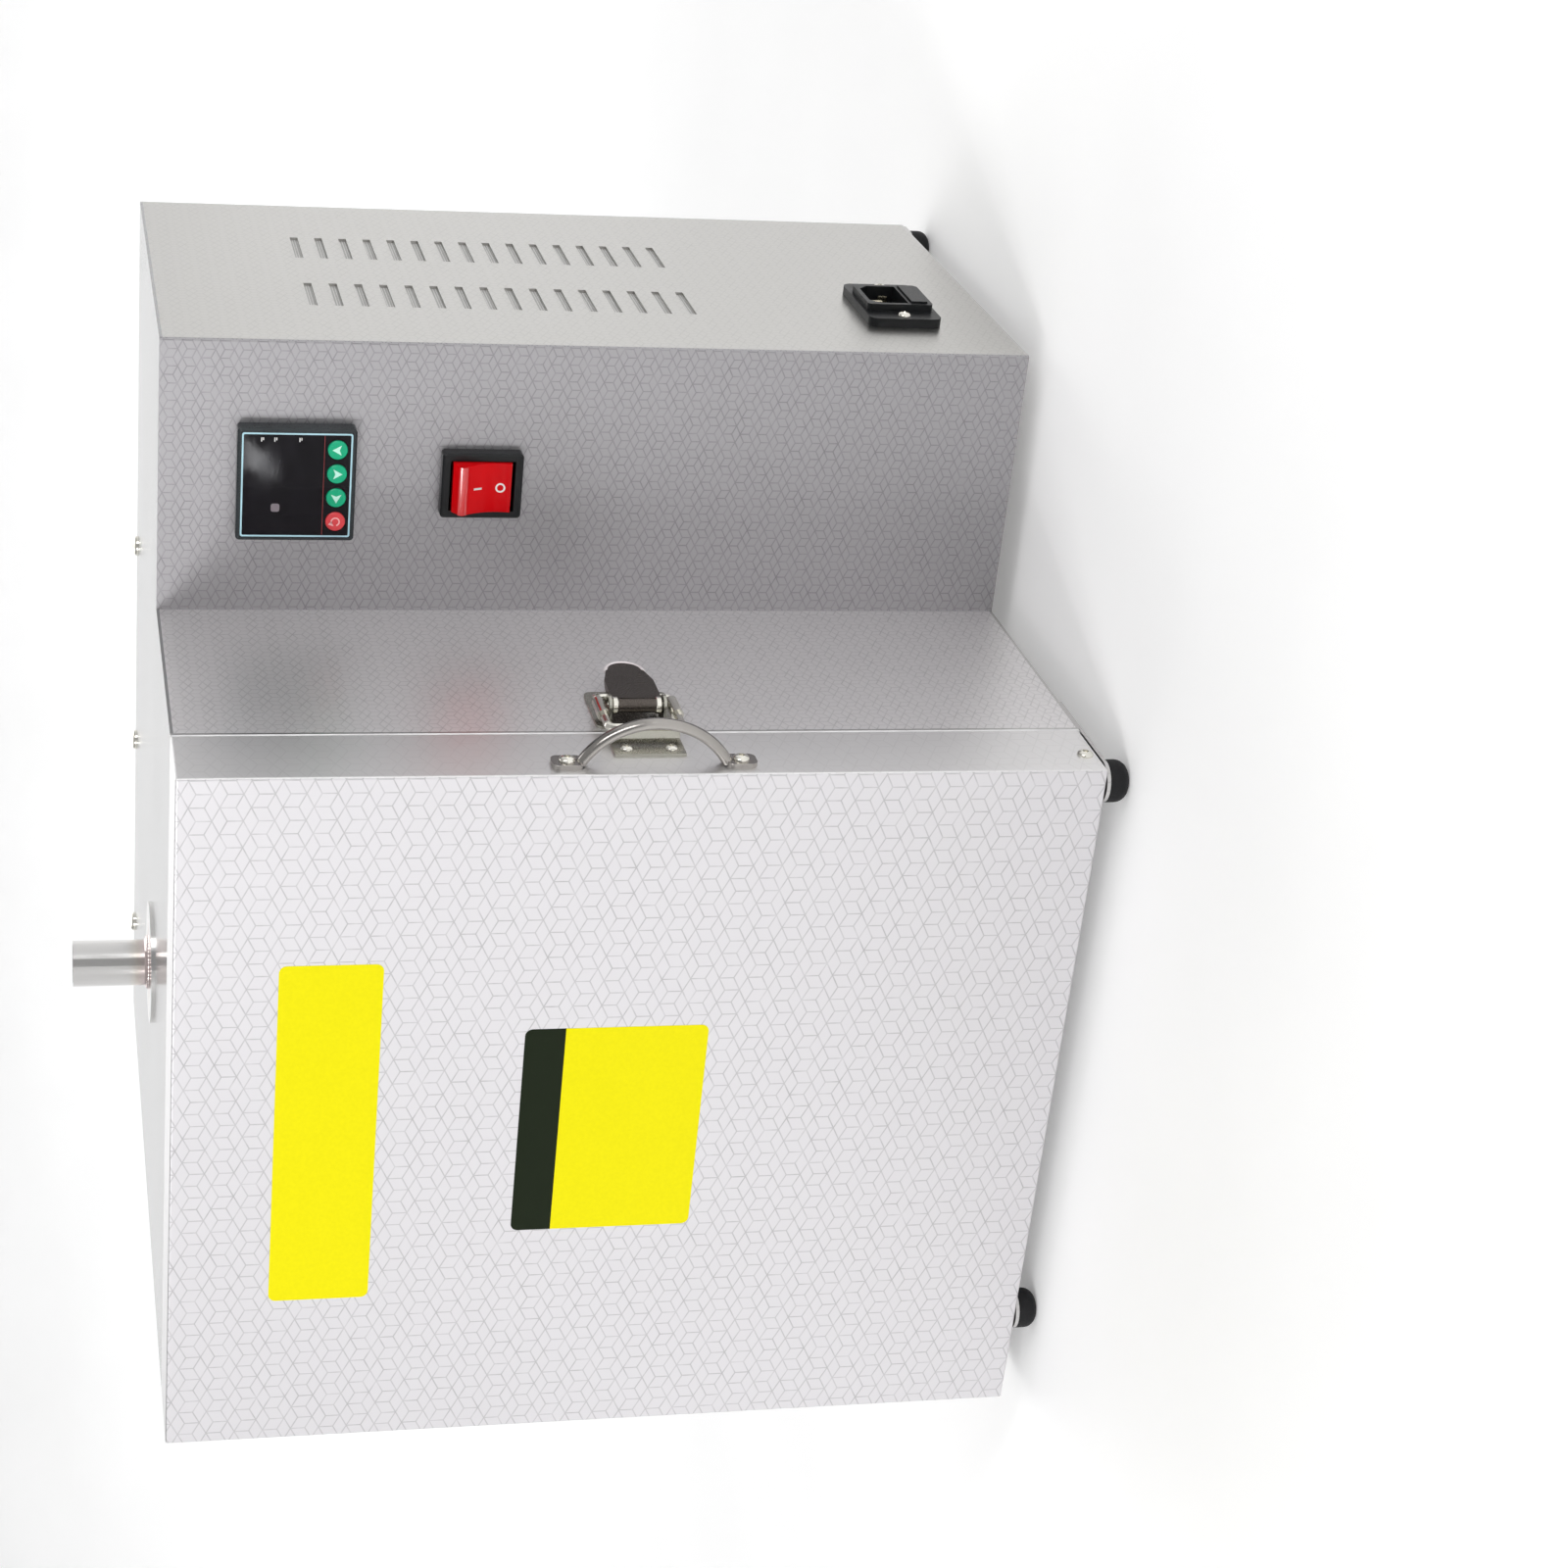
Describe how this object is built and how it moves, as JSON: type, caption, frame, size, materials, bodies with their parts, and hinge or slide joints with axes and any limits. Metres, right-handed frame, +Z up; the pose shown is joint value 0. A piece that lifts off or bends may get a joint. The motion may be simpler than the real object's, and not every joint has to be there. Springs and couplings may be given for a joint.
{
  "type": "burnout furnace",
  "caption": "Bench-top burnout furnace with an insulated chamber, a side-hinged door held by a toggle latch, a flue tube and a set-back control box.",
  "frame": {"origin": "on the floor, at the middle of the overall length and depth", "axes": "+Z up, -Y out of the door, +X towards the control box; the overall length is along X"},
  "size_m": [0.4372, 0.355, 0.4045],
  "materials": {
    "brushed_sheet": "satin",
    "bright_steel": "polished",
    "white_fibre": "matte",
    "coil_alloy": "matte",
    "fired_ceramic": "matte",
    "black_rubber": "matte",
    "finned_aluminium": "satin",
    "tinned_brass": "satin",
    "black_plastic": "matte",
    "dark_window": "gloss",
    "red_plastic": "gloss",
    "green_plastic": "gloss",
    "wire_sleeve": "matte"
  },
  "bodies": {
    "cabinet": {"base_plate": "brushed_sheet", "left_side_panel": "brushed_sheet", "right_side_panel": "brushed_sheet", "top_cover": "brushed_sheet", "back_panel": "brushed_sheet", "mouth_frame": "brushed_sheet", "control_front_panel": "brushed_sheet", "control_side_panel": "brushed_sheet", "control_top_panel": "brushed_sheet", "control_base_panel": "brushed_sheet", "control_back_panel": "brushed_sheet", "flue_liner": "bright_steel", "flue_outlet": "bright_steel", "drain_tube": "bright_steel", "hinge_body_leaves": "bright_steel", "hinge_pins": "bright_steel", "latch_base": "bright_steel", "latch_base_pin": "bright_steel", "thermocouple": "bright_steel", "element_clamps": "bright_steel", "left_heating_element": "coil_alloy", "right_heating_element": "coil_alloy", "left_lining_board": "white_fibre", "right_lining_board": "white_fibre", "roof_lining_board": "white_fibre", "floor_lining_board": "white_fibre", "rear_lining_board": "white_fibre", "insulation_blankets": "white_fibre", "hearth_plate": "fired_ceramic", "element_bushes": "fired_ceramic", "rubber_feet": "black_rubber", "relay_heatsink": "finned_aluminium", "inlet_pins": "tinned_brass", "controller_case": "black_plastic", "switch_case": "black_plastic", "inlet_case": "black_plastic", "solid_state_relay": "black_plastic", "controller_face": "dark_window", "wiring": "wire_sleeve"},
    "door": {"door_shell": "brushed_sheet", "door_inner_frame": "brushed_sheet", "door_plug": "white_fibre", "door_gasket": "white_fibre", "door_handle": "bright_steel", "hinge_door_leaves": "bright_steel", "latch_catch": "bright_steel"},
    "latch_lever": {"latch_lever": "bright_steel"},
    "latch_pull": {"latch_pull": "bright_steel"},
    "switch_rocker": {"switch_rocker": "red_plastic"},
    "controller_set_button": {"controller_set_button": "red_plastic"},
    "controller_left_button": {"controller_left_button": "green_plastic"},
    "controller_down_button": {"controller_down_button": "green_plastic"},
    "controller_up_button": {"controller_up_button": "green_plastic"},
    "fuse_drawer": {"fuse_drawer": "black_plastic"}
  },
  "joints": [
    {"name": "door_hinge", "type": "hinge", "parent": "cabinet", "child": "door", "pos_m": [-0.2142, -0.14075, 0.1905], "axis": [0, 0, -1], "range_deg": [0, 180]},
    {"name": "latch_lever_pivot", "type": "hinge", "parent": "cabinet", "child": "latch_lever", "pos_m": [0.1013, -0.1295, 0.1905], "axis": [0, 0, -1], "range_deg": [0, 120]},
    {"name": "latch_pull_pivot", "type": "hinge", "parent": "latch_lever", "child": "latch_pull", "pos_m": [0.1013, -0.1225, 0.1905], "axis": [0, 0, -1], "range_deg": [-120, 0]},
    {"name": "rocker_tilt", "type": "hinge", "parent": "cabinet", "child": "switch_rocker", "pos_m": [0.1523, -0.0245, 0.2395], "axis": [-1, 0, 0], "range_deg": [0, 26]},
    {"name": "controller_set_button_travel", "type": "slide", "parent": "cabinet", "child": "controller_set_button", "axis": [0, 1, 0], "range_m": [0, 0.0005], "stiffness_N_per_m": 300, "springref_m": -0.0005},
    {"name": "controller_left_button_travel", "type": "slide", "parent": "cabinet", "child": "controller_left_button", "axis": [0, 1, 0], "range_m": [0, 0.0005], "stiffness_N_per_m": 300, "springref_m": -0.0005},
    {"name": "controller_down_button_travel", "type": "slide", "parent": "cabinet", "child": "controller_down_button", "axis": [0, 1, 0], "range_m": [0, 0.0005], "stiffness_N_per_m": 300, "springref_m": -0.0005},
    {"name": "controller_up_button_travel", "type": "slide", "parent": "cabinet", "child": "controller_up_button", "axis": [0, 1, 0], "range_m": [0, 0.0005], "stiffness_N_per_m": 300, "springref_m": -0.0005},
    {"name": "fuse_drawer_slide", "type": "slide", "parent": "cabinet", "child": "fuse_drawer", "axis": [1, 0, 0], "range_m": [0, 0.01]}
  ],
  "couplings": [
    {"joint": "latch_pull_pivot", "follows": "latch_lever_pivot", "ratio": -1}
  ]
}
